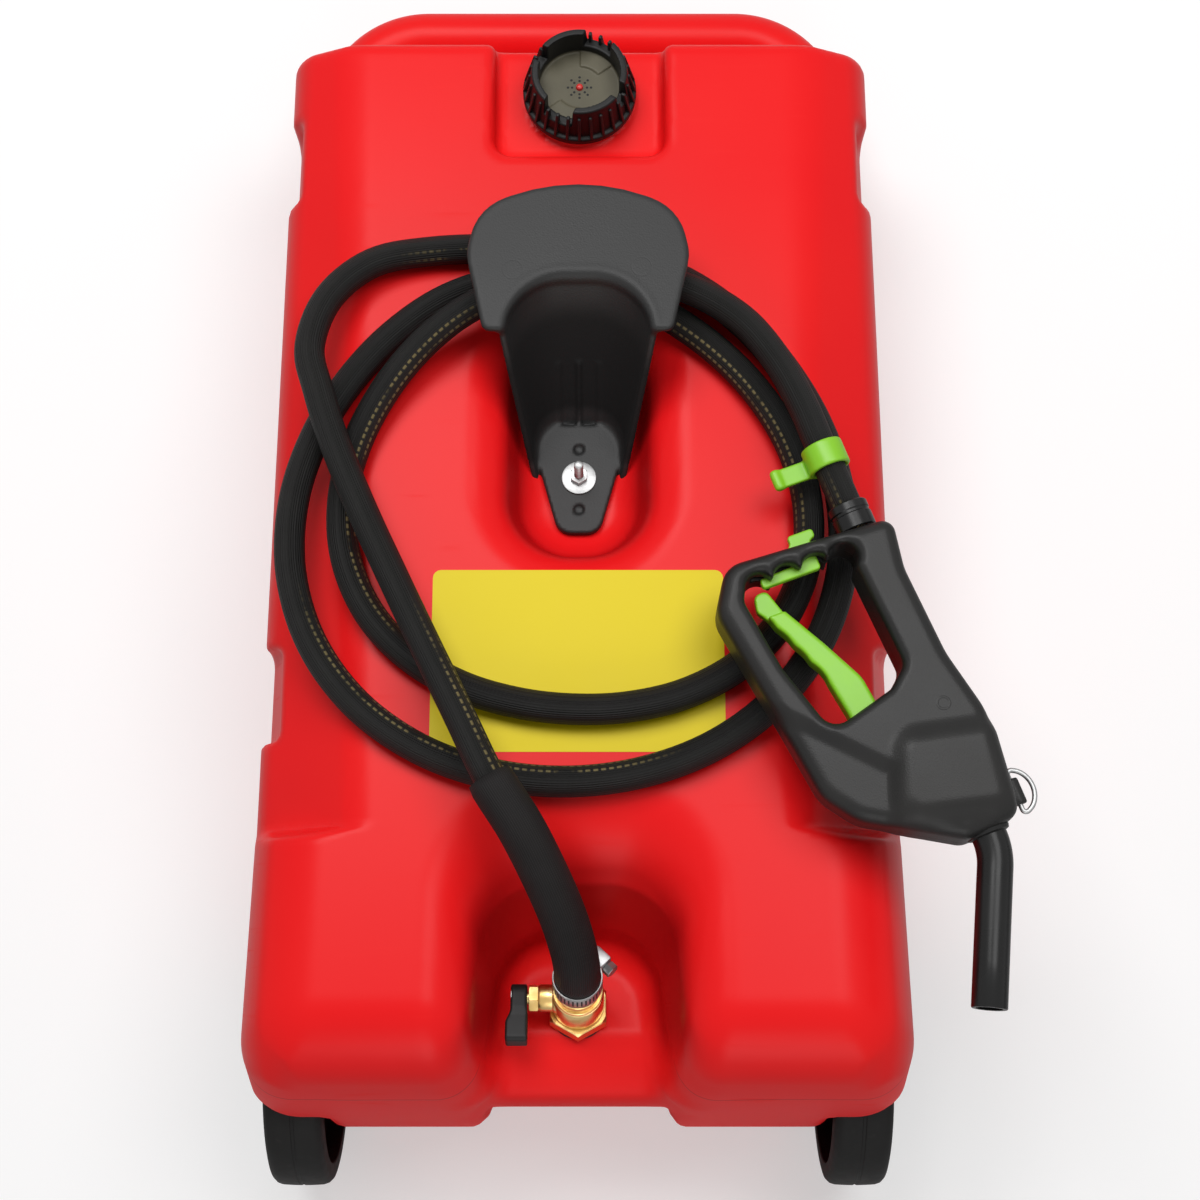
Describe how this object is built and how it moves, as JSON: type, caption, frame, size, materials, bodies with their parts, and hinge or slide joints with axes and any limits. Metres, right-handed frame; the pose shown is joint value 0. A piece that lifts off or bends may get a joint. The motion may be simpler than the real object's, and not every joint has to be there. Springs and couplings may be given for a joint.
{
  "type": "rolling fuel caddy",
  "caption": "Rolling fuel tank on wheels lying on its back, with a pull handle, screw cap, hose hanger, outlet valve, coiled hose and trigger nozzle.",
  "frame": {"origin": "middle of the tank's flat back face, which lies on the floor", "axes": "+X to the right of the front panel, +Y from the wheels to the handle, +Z out of the front panel"},
  "size_m": [0.4679, 0.827, 0.3131],
  "materials": {
    "tank_plastic": "moulded satin red",
    "label_film": "plain yellow film",
    "wheel_plastic": "moulded black",
    "steel": "zinc plated",
    "black_plastic": "moulded black",
    "seal_rubber": "moulded black",
    "red_plastic": "moulded red",
    "brass": "turned",
    "seat_plastic": "moulded white",
    "hose_rubber": "fabric-marked black",
    "green_plastic": "moulded lime green",
    "cast_alloy": "as cast"
  },
  "bodies": {
    "caddy": {"tank": "tank_plastic", "label": "label_film", "axle": "steel", "axle_caps": "wheel_plastic", "hanger": "black_plastic", "hanger_stud": "steel", "hanger_washer": "steel", "hanger_nut": "steel", "outlet_gasket": "seal_rubber", "outlet_nut": "brass", "valve_body": "brass", "valve_seats": "seat_plastic", "packing_nut": "brass", "hose_barb": "brass", "hose_clamp_band": "steel", "hose_clamp_screw": "steel", "hose_sleeve": "black_plastic", "hose_riser": "hose_rubber", "hose_coil": "hose_rubber", "hose_tail": "hose_rubber", "hose_clip": "green_plastic", "hose_ferrule": "black_plastic", "nozzle_inlet": "brass", "nozzle_core": "cast_alloy", "spool_spring": "steel", "spool_plug": "cast_alloy", "nozzle_lower_shell": "black_plastic", "nozzle_upper_shell": "black_plastic", "nozzle_screws": "steel", "trigger_pin": "steel", "latch_pin": "steel", "spout": "black_plastic", "spout_seal": "seal_rubber"},
    "wheel_left": {"wheel_left": "wheel_plastic"},
    "wheel_right": {"wheel_right": "wheel_plastic"},
    "cap_seal": {"cap_gasket": "seal_rubber"},
    "cap": {"cap": "black_plastic"},
    "vent": {"cap_vent": "red_plastic"},
    "valve": {"valve_ball": "steel", "valve_stem": "brass", "valve_lever": "black_plastic", "lever_nut": "steel"},
    "trigger": {"trigger": "green_plastic"},
    "spool": {"nozzle_spool": "steel"},
    "latch": {"trigger_latch": "green_plastic"},
    "bail": {"wire_bail": "steel"}
  },
  "joints": [
    {"name": "wheel_left_spin", "type": "hinge", "parent": "caddy", "child": "wheel_left", "pos_m": [-0.1785, -0.311, 0.0805], "axis": [1, 0, 0], "continuous": true},
    {"name": "wheel_right_spin", "type": "hinge", "parent": "caddy", "child": "wheel_right", "pos_m": [0.1785, -0.311, 0.0805], "axis": [1, 0, 0], "continuous": true},
    {"name": "cap_lift", "type": "slide", "parent": "caddy", "child": "cap_seal", "axis": [0, 0.0875, 0.9962], "range_m": [0, 0.012]},
    {"name": "cap_turn", "type": "hinge", "parent": "cap_seal", "child": "cap", "pos_m": [0, 0.317, 0.20616], "axis": [0, 0.0875, 0.9962], "range_deg": [0, 730]},
    {"name": "vent_lift", "type": "slide", "parent": "cap", "child": "vent", "axis": [0, 0.0875, 0.9962], "range_m": [0, 0.0015], "stiffness_N_per_m": 200},
    {"name": "lever_turn", "type": "hinge", "parent": "caddy", "child": "valve", "pos_m": [0, -0.27245, 0.18749], "axis": [-1, 0, 0], "range_deg": [0, 90]},
    {"name": "trigger_squeeze", "type": "hinge", "parent": "caddy", "child": "trigger", "pos_m": [0.17506, -0.1479, 0.28714], "axis": [0, -0.0875, -0.9962], "range_deg": [0, 16], "stiffness_Nm_per_rad": 4, "springref_deg": -5.73},
    {"name": "spool_slide", "type": "slide", "parent": "caddy", "child": "spool", "axis": [0.9361, 0.3505, -0.0308], "range_m": [0, 0.0066], "deforming": ["spool_spring"]},
    {"name": "latch_turn", "type": "hinge", "parent": "caddy", "child": "latch", "pos_m": [0.13458, -0.01514, 0.27548], "axis": [0, 0.0875, 0.9962], "range_deg": [0, 10], "stiffness_Nm_per_rad": 0.2, "springref_deg": -2.86},
    {"name": "bail_swing", "type": "hinge", "parent": "caddy", "child": "bail", "pos_m": [0.25232, -0.15729, 0.28797], "axis": [0.3518, -0.9325, 0.0819], "range_deg": [-70, 70]}
  ],
  "couplings": [
    {"joint": "cap_turn", "follows": "cap_lift", "rad_per_m": 1047.2},
    {"joint": "spool_slide", "follows": "trigger_squeeze", "m_per_rad": 0.022918}
  ]
}
